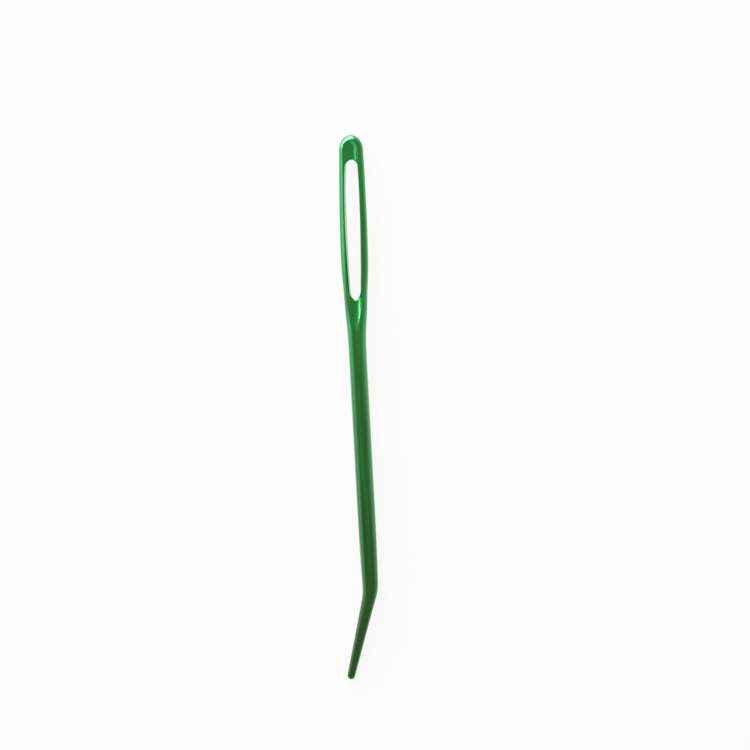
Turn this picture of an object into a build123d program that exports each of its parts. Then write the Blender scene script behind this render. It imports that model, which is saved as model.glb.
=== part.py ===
from build123d import *
from math import asin, cos, degrees, radians, sin, sqrt, tan
import os

# A yarn needle with a bent point, made from one length of aluminium wire.
# One end of the wire is pressed flat into a head, with a groove down each face
# and a long eye punched through between the grooves. The other end is drawn
# down to a blunt point, and the point is bent to one side. The head and the
# shank are two solids that meet where the wire becomes round.
# Millimetres. The needle lies on a table: +Z is up, and +Y runs from the point
# to the crown, which is the round end above the eye. The origin is on the
# table, under the middle of the needle's box.

# Lengths along the needle. Places are measured down its axis, from the crown's top.
overall_length = 70.0  # from the crown to the point, along Y
crown_length = 1.9  # the round end, down to the shoulders
neck_at = 27.0  # the corner between the head's axis and the shank's
taper_length = 10.5  # the thinning stretch of the shank, above the bend
point_length = 11.7  # from the corner of the bend to the end of the point

# The pressed head
head_width = 3.61  # at its widest, in the plane of the bend
head_thickness = 1.6  # at the shoulders, where it is pressed thinnest

# Diameters of the round wire
wire_diameter = 2.29
bend_start_diameter = 2.06
bend_end_diameter = 1.75
point_diameter = 1.0

# How far each stretch leans away from Y, in degrees
head_lean = 1.8
shank_lean = 3.1
point_lean = 13.2  # to the other side
neck_radius = 150.0
bend_radius = 8.0

# The eye
eye_start = 3.2
eye_length = 17.95
eye_width = 1.96
eye_foot_length = 1.2  # the lower end of the eye is half an ellipse

# The groove that leads the yarn into the eye
groove_start = 0.75
groove_radius = 1.25
groove_web = 0.44  # the metal left between the two grooves
groove_climb = 11.5  # degrees, from the eye's foot until it has left the wire
groove_climb_radius = 6.0
groove_edge_radius = 0.22
rounding_length = 3.2  # below the groove, until the wire is quite round

# How far the pressing has gone, from round wire to the full width and to the
# least thickness: place along the eye, share of the widening, of the thinning
shoulder_width_share = 0.66
head_shares = [
    (0.21, 0.87, 0.83),
    (0.57, 1.0, 0.65),
    (1.0, 0.55, 0.28),
]

# The eye's outline: place along the eye, and share of its width
eye_top_share = 0.83
eye_side_shares = [(0.15, 0.93), (0.38, 1.0), (0.72, 0.885)]
eye_foot_share = 0.745

# The axis of the needle
point_cap = point_diameter / 2
point_reach = point_length - point_cap
shank_drop = (
    overall_length
    - neck_at * cos(radians(head_lean))
    - point_reach * cos(radians(point_lean))
    - point_cap
)
down = Vector(0, -1, 0)
crown_top = Vector(0, 0, 0)
neck = crown_top + down.rotate(Axis.Z, head_lean) * neck_at
corner = neck + down.rotate(Axis.Z, shank_lean) * (shank_drop / cos(radians(shank_lean)))
point_centre = corner + down.rotate(Axis.Z, -point_lean) * point_reach

with BuildLine() as centreline:
    FilletPolyline(crown_top, neck, corner, point_centre, radius=[neck_radius, bend_radius])
axis = centreline.wires()[0]


def cross_plane(distance, turn=0.0):
    """The plane square to the axis, at a distance from the top of the crown."""
    origin = axis.position_at(distance, PositionMode.LENGTH)
    along = axis.tangent_at(distance, PositionMode.LENGTH)
    across = Vector(0, 0, 1).cross(along).rotate(Axis(crown_top, along), turn)
    return Plane(origin=origin, x_dir=across, z_dir=along)


# The needle rests on its shank and its point, so it is rolled about the shank
# until the thinner point comes down to the table
bend_turn = radians(shank_lean + point_lean)
roll = degrees(asin((wire_diameter - point_diameter) / 2 / (point_reach * sin(bend_turn))))

# The places where the bend starts and ends
bend_end = axis.length - point_reach + bend_radius * tan(bend_turn / 2)
bend_start = bend_end - bend_radius * bend_turn
bend_middle = (bend_start + bend_end) / 2
bend_middle_diameter = (bend_start_diameter + bend_end_diameter) / 2

# The sections of the head (place, width and thickness), and those of each
# stretch of the shank (place and diameter). The head ends where the wire is
# round again.
eye_foot_at = eye_start + eye_length
groove_depth = (wire_diameter - groove_web) / 2
groove_end = eye_foot_at + groove_depth / tan(radians(groove_climb))
wire_at = groove_end + rounding_length
taper_at = bend_start - taper_length
widening = head_width - wire_diameter
thinning = wire_diameter - head_thickness
shoulder_width = wire_diameter + shoulder_width_share * widening
head_sections = [(crown_length, shoulder_width, head_thickness)]
for place, width, thickness in head_shares:
    head_sections.append(
        (
            eye_start + place * eye_length,
            wire_diameter + width * widening,
            wire_diameter - thickness * thinning,
        )
    )
head_sections.append((wire_at, wire_diameter, wire_diameter))
shank_stretches = [
    [(wire_at, wire_diameter), (taper_at, wire_diameter)],
    [(taper_at, wire_diameter), (bend_start, bend_start_diameter)],
    [
        (bend_start, bend_start_diameter),
        (bend_middle, bend_middle_diameter),
        (bend_end, bend_end_diameter),
    ],
    [(bend_end, bend_end_diameter), (axis.length, point_diameter)],
]

# The circles are turned against the roll, so that the wire's seam ends up level
with BuildPart() as straight_shank:
    for stretch in shank_stretches:
        for place, diameter in stretch:
            with BuildSketch(cross_plane(place, -roll)):
                Circle(diameter / 2)
        loft()
    with Locations(point_centre):
        Sphere(point_cap)

# The crown is half a ball, stretched to the width and thickness of the shoulders
with BuildPart() as crown:
    Sphere(crown_length)
    scale(by=(shoulder_width / 2 / crown_length, 1, head_thickness / 2 / crown_length))
    split(bisect_by=Plane.XZ, keep=Keep.BOTTOM)

# Planes of the head: one flat along it, one edgeways with its x down the head
head_x = Vector(1, 0, 0).rotate(Axis.Z, head_lean)
head_plane = Plane(origin=crown_top, x_dir=head_x, z_dir=(0, 0, 1))
edge_plane = Plane(origin=crown_top, x_dir=down.rotate(Axis.Z, head_lean), z_dir=head_x * -1)

# The groove's cutter is a rod with a round end. It starts in the crown, runs
# level past the eye and then climbs until it leaves the wire.
rod_height = groove_web / 2 + groove_radius
crown_height = head_thickness / 2 * sqrt(1 - (1 - groove_start / crown_length) ** 2)
rod_start = groove_start + sqrt(groove_radius**2 - (rod_height - crown_height) ** 2)
climb_way = Vector(cos(radians(groove_climb)), sin(radians(groove_climb)))
rod_turn = eye_foot_at - groove_radius * climb_way.Y / (1 + climb_way.X)
rod_end = Vector(groove_end, wire_diameter / 2) + (
    climb_way + Vector(-climb_way.Y, climb_way.X)
) * groove_radius
rod_points = [Vector(rod_start, rod_height), Vector(rod_turn, rod_height), rod_end]

with BuildPart() as grooves:
    with BuildLine() as rod_line:
        rod_path = [edge_plane.from_local_coords(point) for point in rod_points]
        FilletPolyline(*rod_path, radius=groove_climb_radius)
    with BuildSketch(Plane(origin=rod_path[0], z_dir=rod_line.line % 0)):
        Circle(groove_radius)
    sweep()
    with Locations(rod_path[0]):
        Sphere(groove_radius)
    mirror(about=Plane.XY)

# The eye: a round top, long curved sides and a narrower, pointed-oval foot
eye_top_radius = eye_top_share * eye_width / 2
eye_foot_half = eye_foot_share * eye_width / 2
top_corner = (eye_top_radius, -eye_start - eye_top_radius)
foot_corner = (eye_foot_half, eye_foot_length - eye_foot_at)
side_points = [
    (share * eye_width / 2, -eye_start - place * eye_length) for place, share in eye_side_shares
]
with BuildPart() as eye:
    with BuildSketch(head_plane):
        with BuildLine():
            CenterArc((0, top_corner[1]), eye_top_radius, 0, 90)
            Spline(top_corner, *side_points, foot_corner, tangents=[(0, -1), (0, -1)])
            EllipticalCenterArc(
                (0, foot_corner[1]), eye_foot_half, eye_foot_length, 270, arc_size=90
            )
            mirror(about=Plane.YZ)
        make_face()
    extrude(amount=wire_diameter, both=True)

with BuildPart() as flat_head:
    for place, width, thickness in head_sections:
        with BuildSketch(cross_plane(place)):
            Ellipse(width / 2, thickness / 2)
    loft()
    with Locations(head_plane * Location((0, -crown_length))):
        add(crown)
    add(grooves, mode=Mode.SUBTRACT)
    fillet(flat_head.edges(Select.NEW), groove_edge_radius)
    add(eye, mode=Mode.SUBTRACT)

# The roll, and the place on the table
shank_line = Axis(neck, corner - neck)
rolled_head = flat_head.part.rotate(shank_line, roll)
rolled_shank = straight_shank.part.rotate(shank_line, roll)
box = Compound([rolled_head, rolled_shank]).bounding_box()
laid = Location((-box.center().X, -box.center().Y, wire_diameter / 2))

with BuildPart() as head:
    with Locations(laid):
        add(rolled_head)

with BuildPart() as shank:
    with Locations(laid):
        add(rolled_shank)

os.makedirs("parts", exist_ok=True)
head.part.label = "head"
export_step(head.part, "parts/head.step")
shank.part.label = "shank"
export_step(shank.part, "parts/shank.step")
print("needle", box.size, "rolled", round(roll, 2), "degrees")
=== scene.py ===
# %% [markdown]
# # A yarn needle with a bent point
# The needle is one length of soft aluminium wire, anodised green. One end is
# pressed flat, grooved down both faces and punched through to make the eye. The
# other end thins to a blunt point, which is bent to one side so that it comes up
# again out of the knitting.
#
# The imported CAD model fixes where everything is. Here the needle gets its looks:
# a finer mesh, the finish of the anodised metal, and a table, a room and two
# lamps like a small product studio.

from math import cos, pi, radians, sin, tan
import bmesh
import bpy
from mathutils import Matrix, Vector


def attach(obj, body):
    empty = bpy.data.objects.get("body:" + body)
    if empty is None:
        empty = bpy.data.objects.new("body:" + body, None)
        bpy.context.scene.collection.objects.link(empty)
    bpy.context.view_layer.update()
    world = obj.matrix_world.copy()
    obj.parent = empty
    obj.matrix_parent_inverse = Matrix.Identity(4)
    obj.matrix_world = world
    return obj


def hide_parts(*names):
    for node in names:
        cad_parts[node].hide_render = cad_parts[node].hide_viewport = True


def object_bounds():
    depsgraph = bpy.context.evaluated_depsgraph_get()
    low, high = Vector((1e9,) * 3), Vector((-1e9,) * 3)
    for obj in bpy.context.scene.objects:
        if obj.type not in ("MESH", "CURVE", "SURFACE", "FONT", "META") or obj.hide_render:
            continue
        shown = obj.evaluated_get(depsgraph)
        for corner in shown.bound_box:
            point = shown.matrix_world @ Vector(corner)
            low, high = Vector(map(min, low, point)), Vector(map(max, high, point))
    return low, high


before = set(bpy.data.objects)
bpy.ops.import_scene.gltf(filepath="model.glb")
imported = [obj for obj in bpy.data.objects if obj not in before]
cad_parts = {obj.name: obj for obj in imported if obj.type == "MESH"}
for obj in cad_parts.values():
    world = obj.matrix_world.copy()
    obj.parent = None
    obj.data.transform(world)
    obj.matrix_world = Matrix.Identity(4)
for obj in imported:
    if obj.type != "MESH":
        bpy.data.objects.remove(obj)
cad_low, cad_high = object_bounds()
mm = 0.001  # Blender's unit here is the metre

print("CAD box in mm:", [round(side / mm, 2) for side in cad_high - cad_low])

# %% [markdown]
# ## The needle's line
# Everything on the needle is measured down one line that runs through the middle
# of the wire, from the top of the crown to the middle of the blunt point. It has
# two corners: a very slight one where the head meets the shank, and the bend
# above the point. Four places are enough to say it. They lie in one plane that
# leans a little, because the point is thinner than the shank and both rest on the
# table. The way square to that plane is the way through the eye.

# %% The needle's line, in millimetres
crown_top = Vector((-1.02, 35.0, 1.27))
neck = Vector((-0.16, 8.01, 1.145))
bend_corner = Vector((1.55, -23.6, 1.145))
point_middle = Vector((-0.94, -34.5, 0.5))
neck_radius = 150.0
bend_radius = 8.0

through_eye = (point_middle - bend_corner).cross(neck - bend_corner).normalized()
if through_eye.z < 0:
    through_eye.negate()

turn = (bend_corner - neck).angle(point_middle - bend_corner)
corner_saving = 2 * bend_radius * tan(turn / 2) - bend_radius * turn
line_length = (
    (neck - crown_top).length
    + (bend_corner - neck).length
    + (point_middle - bend_corner).length
    - corner_saving
)
print("way through the eye:", [round(part, 3) for part in through_eye])
print("length of the line:", round(line_length, 2), "mm")
print("bend:", round(turn / radians(1), 1), "degrees")

# %% Sizes of the needle, in millimetres down the line from the top of the crown
crown_length = 1.9
wire_from = 28.9  # the wire is round from here on
taper_from = 47.0
bend_from = 57.5
bend_to = 59.8
point_radius = 0.5
full_length = line_length + point_radius

eye_from = 3.2
eye_to = 21.15
eye_top_length = 0.81  # the eye's round top
eye_foot_length = 1.2  # its narrower, pointed foot
eye_rim_radius = 0.18

groove_radius = 1.25
groove_web = 0.44  # metal left between the two grooves
groove_round_from = 1.68  # the groove's floor is level from here
groove_climb_from = 21.0  # and climbs out of the wire from here
groove_climb_slope = tan(radians(11.5))
groove_climb_ease = 0.6
groove_lip = 0.3  # how softly the groove's lip is rounded

# Places down the line, each with half the round wire's thickness there. The same
# for half the head's width, half its thickness and half the eye's width.
wire_radii = [
    (wire_from, 1.145),
    (taper_from, 1.145),
    (bend_from, 1.03),
    (bend_to, 0.875),
    (full_length, 0.48),
]
half_widths = [
    (0.0, 1.53),
    (crown_length, 1.58),
    (7.0, 1.72),
    (13.4, 1.805),
    (eye_to, 1.51),
] + wire_radii
half_thicknesses = [
    (0.0, 0.79),
    (crown_length, 0.8),
    (7.0, 0.86),
    (13.4, 0.92),
    (eye_to, 1.05),
] + wire_radii
eye_half_widths = [
    (eye_from, 0.78),
    (4.0, 0.81),
    (5.9, 0.911),
    (10.0, 0.98),
    (16.1, 0.867),
    (19.95, 0.73),
    (eye_to, 0.7),
]

# %% [markdown]
# ## The flat pattern
# A needle is a long tube with a slot in it, and it is the same on both faces and
# on both sides of its line. So one quarter of it is enough. The pattern is a flat
# sheet: up the sheet is the way down the needle, and across the sheet is the way
# round it, from the outer side to the middle of a face. Beside the eye the sheet
# carries on past the rim, down the eye's wall. Rows are close together where the
# form turns fast, at the crown, at both ends of the eye and in the bend.


# %% Rows and columns of the pattern
def spread(start, end, count, crowded=""):
    """Places from start up to end, without end itself. They lie evenly unless they crowd."""
    shares = [step / count for step in range(count)]
    if crowded == "at the start":
        shares = [1 - cos(share * pi / 2) for share in shares]
    if crowded == "at the end":
        shares = [sin(share * pi / 2) for share in shares]
    return [start + (end - start) * share for share in shares]


# The number in each line is how many rows that stretch has
eye_rows = (
    spread(eye_from, eye_from + eye_top_length, 20, "at the start")
    + spread(eye_from + eye_top_length, eye_to - eye_foot_length, 84)
    + spread(eye_to - eye_foot_length, eye_to, 22, "at the end")
    + [eye_to]
)
rows = (
    spread(0.0, crown_length, 24, "at the start")
    + spread(crown_length, eye_from, 16, "at the end")
    + eye_rows
    + spread(eye_to, eye_to + 1, 12, "at the start")[1:]
    + spread(eye_to + 1, wire_from, 46)
    + spread(wire_from, bend_from - 1, 30)
    + spread(bend_from - 1, bend_to + 1, 40)
    + spread(bend_to + 1, line_length, 20)
    + spread(line_length, full_length, 12, "at the end")
    + [full_length]
)
face_columns = 36
wall_columns = 8
face_shares = [step / face_columns for step in range(face_columns)]
wall_shares = [step / wall_columns for step in range(wall_columns + 1)]
columns = [(share + sin(share * pi / 2)) / 2 for share in face_shares]
columns += [1 + share for share in wall_shares]
print(len(rows), "rows,", len(columns), "columns")


# %% The pattern as a mesh
def make_pattern():
    """A flat sheet whose x is the place round the needle and whose y is the place down it."""
    sheet = bmesh.new()
    corners = {}
    for row, down in enumerate(rows):
        last = len(columns) if down in eye_rows else face_columns + 1
        for column in range(last):
            corners[row, column] = sheet.verts.new((columns[column], down, 0))
    for row, column in corners:
        four = [(row, column), (row, column + 1), (row + 1, column + 1), (row + 1, column)]
        if all(corner in corners for corner in four):
            sheet.faces.new([corners[corner] for corner in four])
    mesh = bpy.data.meshes.new("needle_pattern")
    sheet.to_mesh(mesh)
    sheet.free()
    pattern = bpy.data.objects.new("needle_pattern", mesh)
    bpy.context.scene.collection.objects.link(pattern)
    return pattern


pattern = make_pattern()
print("pattern:", len(pattern.data.polygons), "faces for a quarter of the needle")

# %% [markdown]
# ## The rule that rolls the pattern up
# The needle's shape follows a rule, so Geometry Nodes make it: every corner of the
# pattern is moved to its place by sums on its two coordinates. Sums are hard to
# read as boxes and wires. The small class below lets the script write them as
# ordinary arithmetic, and makes one Math node for each sign. The finish and the
# room use it too.


# %% Arithmetic that makes nodes
class Amount:
    """A number that nodes work out, at each corner of a mesh or wherever a ray looks."""

    def __init__(self, tree, socket):
        self.tree = tree
        self.socket = socket

    def sum_node(self, operation, *others):
        node = self.tree.nodes.new("ShaderNodeMath")
        node.operation = operation
        for place, value in enumerate((self, *others)):
            if isinstance(value, Amount):
                self.tree.links.new(value.socket, node.inputs[place])
            else:
                node.inputs[place].default_value = value
        return Amount(self.tree, node.outputs[0])

    def __add__(self, other):
        return self.sum_node("ADD", other)

    def __sub__(self, other):
        return self.sum_node("SUBTRACT", other)

    def __mul__(self, other):
        return self.sum_node("MULTIPLY", other)

    def __truediv__(self, other):
        return self.sum_node("DIVIDE", other)

    def squared(self):
        return self.sum_node("MULTIPLY", self)

    def root(self):
        return self.at_least(0.0).sum_node("SQRT")

    def taken_from(self, whole):
        return (self * -1.0) + whole

    def at_least(self, least):
        return self.sum_node("MAXIMUM", least)

    def at_most(self, most):
        return self.sum_node("MINIMUM", most)

    def softly_at_most(self, other, softness):
        return self.sum_node("SMOOTH_MIN", other, softness)


# %% Helpers for the tree
def add_node(tree, kind, **settings):
    """Adds a node and sets its properties."""
    node = tree.nodes.new(kind)
    for name, value in settings.items():
        setattr(node, name, value)
    return node


def smooth_curve(amount, points):
    """The amount sent through a Float Curve, which runs smoothly through points from 0 to 1."""
    node = add_node(amount.tree, "ShaderNodeFloatCurve")
    curve = node.mapping.curves[0]
    while len(curve.points) < len(points):
        curve.points.new(0.5, 0.5)
    for point, (share, value) in zip(curve.points, points):
        point.location = (share, value)
        point.handle_type = "AUTO_CLAMPED"
    node.mapping.update()
    amount.tree.links.new(amount.socket, node.inputs["Value"])
    return Amount(amount.tree, node.outputs["Value"])


def profile(down, places, largest):
    """A smooth profile down the needle through a few places, level before and after them."""
    points = [(place / full_length, value / largest) for place, value in places]
    if points[0][0] > 0:
        points.insert(0, (0.0, points[0][1]))
    if points[-1][0] < 1:
        points.append((1.0, points[-1][1]))
    return smooth_curve(down / full_length, points) * largest


def add_inputs(tree, sizes):
    """Named inputs of the tree, each with its size as the default."""
    for name, size in sizes.items():
        socket = tree.interface.new_socket(name=name, in_out="INPUT", socket_type="NodeSocketFloat")
        socket.default_value = size


# %% [markdown]
# ### The section
# Across the line the needle is an ellipse. The groove on each face is a trough cut
# by a round rod. A soft minimum of the two heights rounds the groove's lip as the
# press leaves it. Near the eye the height drops away in a quarter round, which
# makes the rim. The wall of the eye then runs straight down to the needle's middle.

# %% The tree
needle_sizes = {
    "Crown length": crown_length,
    "Groove radius": groove_radius,
    "Groove web": groove_web,
    "Groove lip softness": groove_lip,
    "Eye rim radius": eye_rim_radius,
    "Point radius": point_radius,
    "Bend radius": bend_radius,
}
needle_tree = bpy.data.node_groups.new("Needle from its pattern", "GeometryNodeTree")
needle_tree.interface.new_socket(name="Pattern", in_out="INPUT", socket_type="NodeSocketGeometry")
add_inputs(needle_tree, needle_sizes)
needle_tree.interface.new_socket(name="Finish", in_out="INPUT", socket_type="NodeSocketMaterial")
needle_tree.interface.new_socket(name="Needle", in_out="OUTPUT", socket_type="NodeSocketGeometry")
given = add_node(needle_tree, "NodeGroupInput")
result = add_node(needle_tree, "NodeGroupOutput")
size = {name: Amount(needle_tree, given.outputs[name]) for name in needle_sizes}

# %% Where a corner of the pattern is
place = add_node(needle_tree, "GeometryNodeInputPosition")
split = add_node(needle_tree, "ShaderNodeSeparateXYZ")
needle_tree.links.new(place.outputs["Position"], split.inputs["Vector"])
round_it = Amount(needle_tree, split.outputs["X"])
down_it = Amount(needle_tree, split.outputs["Y"])

# %% The outer skin: an ellipse that closes at the crown and at the point
into_crown = (down_it / size["Crown length"]).taken_from(1.0).at_least(0.0)
into_point = ((down_it - line_length) / size["Point radius"]).at_least(0.0)
closing = into_crown.squared().taken_from(1.0).root() * into_point.squared().taken_from(1.0).root()
widest = 2.0  # no half width or half thickness is more
half_width = profile(down_it, half_widths, widest) * closing
half_thickness = profile(down_it, half_thicknesses, widest) * closing

# %% The eye's outline, from which every point knows its distance
widest_eye = 1.0
eye_half = profile(down_it, eye_half_widths, widest_eye)
above_eye = (down_it.taken_from(eye_from + eye_top_length) / eye_top_length).at_least(0.0)
below_eye = ((down_it - (eye_to - eye_foot_length)) / eye_foot_length).at_least(0.0)
past_end = above_eye + below_eye
rim_at = eye_half * past_end.squared().taken_from(1.0).root()

# %% Across the face, from the outer side up to the rim or to the middle
rim_angle = (rim_at / half_width).sum_node("ARCCOSINE")
angle = rim_angle * round_it.at_most(1.0)
across = half_width * angle.sum_node("COSINE")
skin_height = half_thickness * angle.sum_node("SINE")

# %% The groove
rod_lead = down_it - groove_climb_from
eased_lead = rod_lead + (rod_lead.squared() + groove_climb_ease**2).root()
rod_climb = eased_lead * (groove_climb_slope / 2)
rod_height = size["Groove web"] / 2.0 + size["Groove radius"] + rod_climb
before_rod = (down_it - groove_round_from).at_most(0.0)
off_rod = across.squared() + before_rod.squared()
groove_height = rod_height - (size["Groove radius"].squared() - off_rod).root()
lip = size["Groove lip softness"] * off_rod / size["Groove radius"].squared()
sharpest_lip = 0.01
face_height = skin_height.softly_at_most(groove_height, lip.at_least(sharpest_lip))

# %% The rim of the eye
end_pull = above_eye / eye_top_length + below_eye / eye_foot_length
near = ((across / eye_half).squared() + past_end.squared()).root()
steep = ((across / eye_half.squared()).squared() + end_pull.squared()).root()
from_eye = (near * (near - 1.0) / steep).at_least(0.0)
within_rim = (size["Eye rim radius"] - from_eye).at_least(0.0)
rim_drop = size["Eye rim radius"] - (size["Eye rim radius"].squared() - within_rim.squared()).root()
down_wall = (round_it - 1.0).at_least(0.0).taken_from(1.0)
height = (face_height - rim_drop) * down_wall


# %% The quarter, and the whole needle from it
def place_points(tree, geometry, x, y, z):
    """Set Position from three amounts."""
    joined = add_node(tree, "ShaderNodeCombineXYZ")
    for name, amount in (("X", x), ("Y", y), ("Z", z)):
        tree.links.new(amount.socket, joined.inputs[name])
    moved = add_node(tree, "GeometryNodeSetPosition")
    tree.links.new(geometry, moved.inputs["Geometry"])
    tree.links.new(joined.outputs["Vector"], moved.inputs["Position"])
    return moved.outputs["Geometry"]


def with_mirror_image(tree, geometry, scale):
    """The geometry and its mirror image, whose faces are turned to point outwards again."""
    image = add_node(tree, "GeometryNodeTransform")
    image.inputs["Scale"].default_value = scale
    tree.links.new(geometry, image.inputs["Geometry"])
    turned = add_node(tree, "GeometryNodeFlipFaces")
    tree.links.new(image.outputs["Geometry"], turned.inputs["Mesh"])
    both = add_node(tree, "GeometryNodeJoinGeometry")
    tree.links.new(geometry, both.inputs["Geometry"])
    tree.links.new(turned.outputs["Mesh"], both.inputs["Geometry"])
    return both.outputs["Geometry"]


seam_gap = 0.0001
quarter = place_points(needle_tree, given.outputs["Pattern"], across, down_it, height)
half = with_mirror_image(needle_tree, quarter, (-1, 1, 1))
whole = with_mirror_image(needle_tree, half, (1, 1, -1))
welded = add_node(needle_tree, "GeometryNodeMergeByDistance")
welded.inputs["Distance"].default_value = seam_gap
needle_tree.links.new(whole, welded.inputs["Geometry"])

# %% [markdown]
# ### The bend
# So far the needle is straight. Each corner remembers its place there, because
# the drawing marks on the metal run along the wire and bend with it. Then every
# section is carried to its place on the needle's line. Fillet Curve rounds the
# line's two corners, and Sample Curve says where the line is, and which way it
# runs, at any length down it.

# %% The place on the straight needle, kept for the finish
keep = add_node(needle_tree, "GeometryNodeStoreNamedAttribute", data_type="FLOAT_VECTOR")
keep.domain = "POINT"
keep.inputs["Name"].default_value = "straight_place"
straight = add_node(needle_tree, "GeometryNodeInputPosition")
needle_tree.links.new(welded.outputs["Geometry"], keep.inputs["Geometry"])
needle_tree.links.new(straight.outputs["Position"], keep.inputs["Value"])

# %% The line as a curve in the tree
corners = [crown_top, neck, bend_corner, point_middle]
bend_steps = 24
line = add_node(needle_tree, "GeometryNodeCurvePrimitiveLine")
divided = add_node(needle_tree, "GeometryNodeResampleCurve")
divided.inputs["Count"].default_value = len(corners)
needle_tree.links.new(line.outputs["Curve"], divided.inputs["Curve"])
which = add_node(needle_tree, "GeometryNodeInputIndex")
corner_place = add_node(needle_tree, "GeometryNodeIndexSwitch", data_type="VECTOR")
corner_radius = add_node(needle_tree, "GeometryNodeIndexSwitch", data_type="FLOAT")
for switch in (corner_place, corner_radius):
    while len(switch.index_switch_items) < len(corners):
        switch.index_switch_items.new()
    needle_tree.links.new(which.outputs["Index"], switch.inputs["Index"])
for number, corner in enumerate(corners):
    corner_place.inputs[number + 1].default_value = corner
corner_radius.inputs[2].default_value = neck_radius
needle_tree.links.new(size["Bend radius"].socket, corner_radius.inputs[3])

shaped = add_node(needle_tree, "GeometryNodeSetPosition")
needle_tree.links.new(divided.outputs["Curve"], shaped.inputs["Geometry"])
needle_tree.links.new(corner_place.outputs["Output"], shaped.inputs["Position"])
rounded = add_node(needle_tree, "GeometryNodeFilletCurve", mode="POLY")
rounded.inputs["Count"].default_value = bend_steps
needle_tree.links.new(shaped.outputs["Geometry"], rounded.inputs["Curve"])
needle_tree.links.new(corner_radius.outputs["Output"], rounded.inputs["Radius"])

# %% Each section carried onto the line
straight_split = add_node(needle_tree, "ShaderNodeSeparateXYZ")
needle_tree.links.new(straight.outputs["Position"], straight_split.inputs["Vector"])
sampled = add_node(needle_tree, "GeometryNodeSampleCurve", mode="LENGTH")
needle_tree.links.new(rounded.outputs["Curve"], sampled.inputs["Curves"])
straight_down = Amount(needle_tree, straight_split.outputs["Y"])
needle_tree.links.new(straight_down.socket, sampled.inputs["Length"])


def vector_sum(tree, operation, first, second):
    """A Vector Math node on two sockets or values."""
    node = add_node(tree, "ShaderNodeVectorMath", operation=operation)
    second_input = node.inputs["Scale"] if operation == "SCALE" else node.inputs[1]
    for socket, value in ((node.inputs[0], first), (second_input, second)):
        if isinstance(value, bpy.types.NodeSocket):
            tree.links.new(value, socket)
        else:
            socket.default_value = value
    return node.outputs["Vector"]


eye_way = tuple(through_eye)
side_way = vector_sum(needle_tree, "CROSS_PRODUCT", eye_way, sampled.outputs["Tangent"])
past_line = (straight_down - line_length).at_least(0.0)
steps = [
    vector_sum(needle_tree, "SCALE", side_way, straight_split.outputs["X"]),
    vector_sum(needle_tree, "SCALE", eye_way, straight_split.outputs["Z"]),
    vector_sum(needle_tree, "SCALE", sampled.outputs["Tangent"], past_line.socket),
]
bent_place = sampled.outputs["Position"]
for step in steps:
    bent_place = vector_sum(needle_tree, "ADD", bent_place, step)
bent = add_node(needle_tree, "GeometryNodeSetPosition")
needle_tree.links.new(keep.outputs["Geometry"], bent.inputs["Geometry"])
needle_tree.links.new(bent_place, bent.inputs["Position"])

# %% Into metres, smooth, and with its finish
in_metres = add_node(needle_tree, "GeometryNodeTransform")
in_metres.inputs["Scale"].default_value = (mm, mm, mm)
smooth = add_node(needle_tree, "GeometryNodeSetShadeSmooth")
real = add_node(needle_tree, "GeometryNodeRealizeInstances")
finished = add_node(needle_tree, "GeometryNodeSetMaterial")
needle_tree.links.new(bent.outputs["Geometry"], in_metres.inputs["Geometry"])
needle_tree.links.new(in_metres.outputs["Geometry"], smooth.inputs["Geometry"])
needle_tree.links.new(smooth.outputs["Geometry"], real.inputs["Geometry"])
needle_tree.links.new(real.outputs["Geometry"], finished.inputs["Geometry"])
needle_tree.links.new(given.outputs["Finish"], finished.inputs["Material"])
needle_tree.links.new(finished.outputs["Geometry"], result.inputs["Needle"])
print("the tree has", len(needle_tree.nodes), "nodes")

# %% [markdown]
# ## The finish
# Anodising leaves a clear, hard skin on polished aluminium, and the dye sits in
# that skin. So the shader is a metal with the dye's colour, under a clear coat
# that mirrors a little white light, most at the edges. The colour is painted
# darker towards the point, as painted shade for the dimmer light on the lower
# needle. A few faint yellower streak lines along the wire are painted reflections
# of the warm room. Wire is drawn through a die, which leaves fine marks along it,
# in a slight bump and in the roughness. Streaks and marks are both noise that is
# stretched along the straight needle.


# %% The anodised metal
# The green at the head, and a darker green towards the point that is painted shade
head_green = (0.014, 0.37, 0.086, 1)
shaded_point_green = (0.008, 0.13, 0.018, 1)
# A yellower green for painted reflection streak lines along the wire
warm_reflection_green = (0.045, 0.19, 0.024, 1)
# Where the painted shade towards the point begins and where it is full
point_shade_from = 0.2  # share of the needle's length, from the crown
point_shade_to = 0.85
noise_mean = 0.5
reflection_streak_contrast = 5.0
reflection_streak_strength = 0.2  # how much of its own green a streak shows
polish = 0.22  # the least roughness
marks_roughness = 0.08  # and what the marks add to it
marks_depth = 0.0002 * mm


def noise_along_wire(tree, along, across, detail):
    """Noise in cells of this length along the wire and this width across it, in millimetres."""
    here = add_node(tree, "ShaderNodeAttribute", attribute_name="straight_place")
    cells = add_node(tree, "ShaderNodeMapping")
    cells.inputs["Scale"].default_value = (1 / across, 1 / along, 1 / across)
    noise = add_node(tree, "ShaderNodeTexNoise")
    noise.inputs["Scale"].default_value = 1.0
    noise.inputs["Detail"].default_value = detail
    tree.links.new(here.outputs["Vector"], cells.inputs["Vector"])
    tree.links.new(cells.outputs["Vector"], noise.inputs["Vector"])
    return Amount(tree, noise.outputs["Fac"])


def mixed_colour(tree, share, colour, other_colour):
    """The colour of a socket, with this share of another colour in it."""
    mix = add_node(tree, "ShaderNodeMix", data_type="RGBA")
    share_input, colour_input, other_input = mix.inputs[0], mix.inputs[6], mix.inputs[7]
    tree.links.new(share, share_input)
    tree.links.new(colour, colour_input)
    other_input.default_value = other_colour
    return mix.outputs[2]


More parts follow.
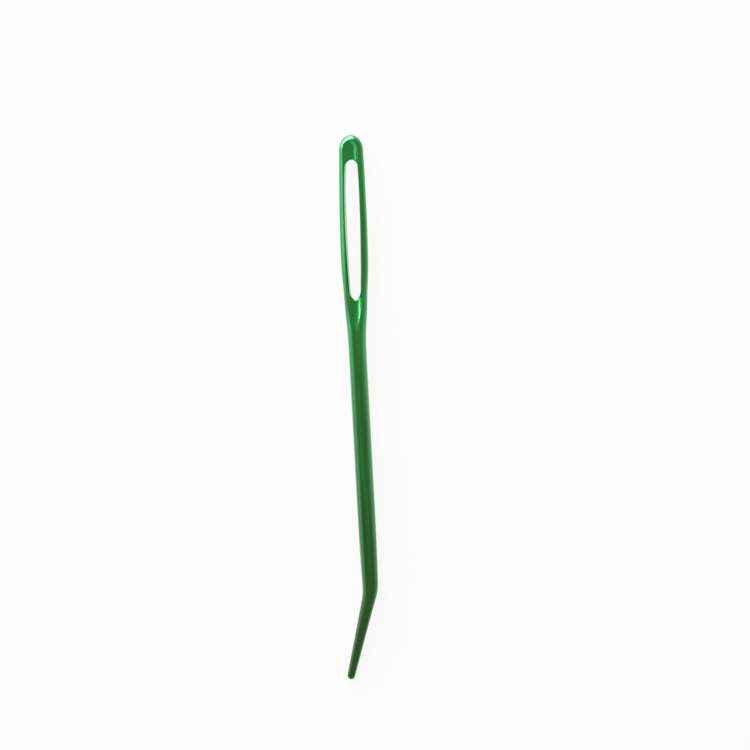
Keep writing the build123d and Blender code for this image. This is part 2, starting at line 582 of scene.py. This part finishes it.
def make_anodised_metal():
    """Green anodised aluminium with drawing marks along the wire, painted shade darker towards the
    point and painted reflection streak lines.
    """
    material = bpy.data.materials.new("anodised_green")
    material.use_nodes = True
    tree = material.node_tree
    shader = tree.nodes["Principled BSDF"]
    shader.inputs["Metallic"].default_value = 1.0
    shader.inputs["Coat Weight"].default_value = 0.85
    shader.inputs["Coat Roughness"].default_value = 0.12
    shader.inputs["Coat IOR"].default_value = 1.6

    here = add_node(tree, "ShaderNodeAttribute", attribute_name="straight_place")
    parts = add_node(tree, "ShaderNodeSeparateXYZ")
    tree.links.new(here.outputs["Vector"], parts.inputs["Vector"])
    down = Amount(tree, parts.outputs["Y"]) / full_length
    # Painted shade: the green darkens from the head towards the point, with an uneven edge from
    # noise
    point_shade = down + noise_along_wire(tree, along=16.0, across=0.4, detail=2.0) - noise_mean
    greens = add_node(tree, "ShaderNodeValToRGB")
    for stop, (share, green) in zip(
        greens.color_ramp.elements, ((point_shade_from, head_green), (point_shade_to, shaded_point_green))
    ):
        stop.position = share
        stop.color = green
    tree.links.new(point_shade.socket, greens.inputs["Fac"])
    # Painted reflection: faint yellower streak lines along the wire
    reflection_streaks = noise_along_wire(tree, along=24.0, across=0.3, detail=1.0) - noise_mean
    reflection_streaks = reflection_streaks * reflection_streak_contrast
    reflection_streaks = reflection_streaks.at_least(0.0).at_most(1.0) * reflection_streak_strength
    painted_base_colour = mixed_colour(tree, reflection_streaks.socket, greens.outputs["Color"], warm_reflection_green)
    tree.links.new(painted_base_colour, shader.inputs["Base Color"])

    marks = noise_along_wire(tree, along=8.0, across=0.04, detail=2.0)
    tree.links.new((marks * marks_roughness + polish).socket, shader.inputs["Roughness"])
    bump = add_node(tree, "ShaderNodeBump")
    bump.inputs["Strength"].default_value = 1.0
    bump.inputs["Distance"].default_value = marks_depth
    tree.links.new(marks.socket, bump.inputs["Height"])
    tree.links.new(bump.outputs["Normal"], shader.inputs["Normal"])
    return material


anodised_green = make_anodised_metal()

# %% The needle, rolled up from its pattern
roll_up = pattern.modifiers.new("Roll up", "NODES")
roll_up.node_group = needle_tree
for socket in needle_tree.interface.items_tree:
    if socket.name == "Finish":
        roll_up[socket.identifier] = anodised_green
    if socket.name in needle_sizes:
        roll_up[socket.identifier] = needle_sizes[socket.name]
depsgraph = bpy.context.evaluated_depsgraph_get()
needle_mesh = bpy.data.meshes.new_from_object(pattern.evaluated_get(depsgraph), depsgraph=depsgraph)
needle = bpy.data.objects.new("needle", needle_mesh)
bpy.context.scene.collection.objects.link(needle)
bpy.data.objects.remove(pattern)

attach(needle, "root")
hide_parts("head", "shank")
triangles = sum(len(face.vertices) - 2 for face in needle_mesh.polygons)
print("needle:", len(needle_mesh.vertices), "corners,", triangles, "triangles")

# %% [markdown]
# ## The studio
# The needle lies on a white table under soft light. Metal shows what is round it,
# so the surroundings are part of its look. The room is light on the lamps' side,
# dim on the other side, and dark and a little warm overhead. That gives the round
# wire its pale edges and its dark middle. A large soft lamp beyond the crown draws
# the bright rim of the crown and the thin line in the groove below the eye, and a
# small one carries the rim on down the left shoulder. The table has to look white
# without more light on the needle, so most of what the camera and the reflections
# see of it is plain white. The rest is real light, which keeps the needle's shadow.

# %% The table
table_size = 3.0
table_glow = 0.9  # share of the table's look that is plain white
table_mesh = bpy.data.meshes.new("table")
table_corners = [(-1, -1), (1, -1), (1, 1), (-1, 1)]
table_points = [(x * table_size, y * table_size, 0) for x, y in table_corners]
table_mesh.from_pydata(table_points, [], [(0, 1, 2, 3)])
table = bpy.data.objects.new("table", table_mesh)
bpy.context.scene.collection.objects.link(table)


def make_white_table():
    """White paint, and plain white where the camera, a reflection or glass looks at it."""
    material = bpy.data.materials.new("white_table")
    material.use_nodes = True
    tree = material.node_tree
    paint = tree.nodes["Principled BSDF"]
    paint.inputs["Base Color"].default_value = (0.94, 0.94, 0.94, 1)
    paint.inputs["Roughness"].default_value = 0.7
    ray = add_node(tree, "ShaderNodeLightPath")
    seen = Amount(tree, ray.outputs["Is Camera Ray"])
    for kind in ("Is Glossy Ray", "Is Transmission Ray"):
        seen = seen.at_least(Amount(tree, ray.outputs[kind]))
    glow = add_node(tree, "ShaderNodeEmission")
    glow.inputs["Strength"].default_value = 1.0
    either = add_node(tree, "ShaderNodeMixShader")
    tree.links.new((seen * table_glow).socket, either.inputs["Fac"])
    tree.links.new(paint.outputs["BSDF"], either.inputs[1])
    tree.links.new(glow.outputs["Emission"], either.inputs[2])
    tree.links.new(either.outputs["Shader"], tree.nodes["Material Output"].inputs["Surface"])
    return material


table_mesh.materials.append(make_white_table())

# %% The room round the table
lamp_side = Vector((-0.6, 0.8, 0.0))
# How far a way through the room points to the lamps' side, from -1 to 1, and the light there
round_room = [(-1.0, 0.3), (-0.78, 0.42), (-0.52, 0.95), (0.5, 1.3), (0.8, 2.2), (1.0, 2.8)]
brightest = 3.0
overhead_from = 0.1  # how steeply a way points up where the overhead dark begins
overhead_full = 0.6
overhead_colour = (0.48, 0.44, 0.3, 1)


def make_room():
    """Light from all round, strongest on the lamp's side and dark overhead."""
    world = bpy.data.worlds.new("studio_room")
    bpy.context.scene.world = world
    world.use_nodes = True
    tree = world.node_tree
    light = tree.nodes["Background"]
    way = add_node(tree, "ShaderNodeTexCoord")
    parts = add_node(tree, "ShaderNodeSeparateXYZ")
    tree.links.new(way.outputs["Generated"], parts.inputs["Vector"])
    towards = add_node(tree, "ShaderNodeVectorMath", operation="DOT_PRODUCT")
    tree.links.new(way.outputs["Generated"], towards.inputs[0])
    towards.inputs[1].default_value = lamp_side
    share = (Amount(tree, towards.outputs["Value"]) + 1.0) / 2.0
    points = [((where + 1) / 2, bright / brightest) for where, bright in round_room]
    bright = smooth_curve(share, points) * brightest
    overhead = add_node(tree, "ShaderNodeMapRange", interpolation_type="SMOOTHSTEP")
    overhead.inputs["From Min"].default_value = overhead_from
    overhead.inputs["From Max"].default_value = overhead_full
    tree.links.new(parts.outputs["Z"], overhead.inputs["Value"])
    walls = add_node(tree, "ShaderNodeCombineXYZ")
    for name in "XYZ":
        tree.links.new(bright.socket, walls.inputs[name])
    everywhere = mixed_colour(
        tree, overhead.outputs["Result"], walls.outputs["Vector"], overhead_colour
    )
    tree.links.new(everywhere, light.inputs["Color"])
    light.inputs["Strength"].default_value = 1.0


make_room()


# %% The lamps
def add_softbox(name, place, aim, width, height, power):
    """A soft lamp of this width and height, that points at a place."""
    lamp = bpy.data.lights.new(name, "AREA")
    lamp.shape = "RECTANGLE"
    lamp.size = width
    lamp.size_y = height
    lamp.energy = power
    box = bpy.data.objects.new(name, lamp)
    box.location = place
    box.rotation_euler = (aim - place).to_track_quat("-Z", "Y").to_euler()
    bpy.context.scene.collection.objects.link(box)


needle_middle = (cad_low + cad_high) / 2
key_place = Vector((-0.245, 0.46, 0.17))
side_place = Vector((-0.45, 0.21, 0.055))
add_softbox("key_lamp", key_place, needle_middle, width=0.5, height=0.28, power=3.8)
add_softbox("side_lamp", side_place, needle_middle, width=0.18, height=0.09, power=0.42)

# %% The camera, straight above as in the photograph
lens = 200.0
sensor = 36.0
view_width = 96.41 * mm  # how much of the table the picture spans
view_middle = Vector((2.115, 4.171, 1.1)) * mm
camera_data = bpy.data.cameras.new("camera")
camera_data.lens = lens
camera_data.sensor_width = sensor
camera_data.clip_start = 0.01
camera = bpy.data.objects.new("camera", camera_data)
camera.location = view_middle + Vector((0, 0, view_width * lens / sensor))
bpy.context.scene.collection.objects.link(camera)
bpy.context.scene.camera = camera
bpy.context.scene.view_settings.view_transform = "Standard"
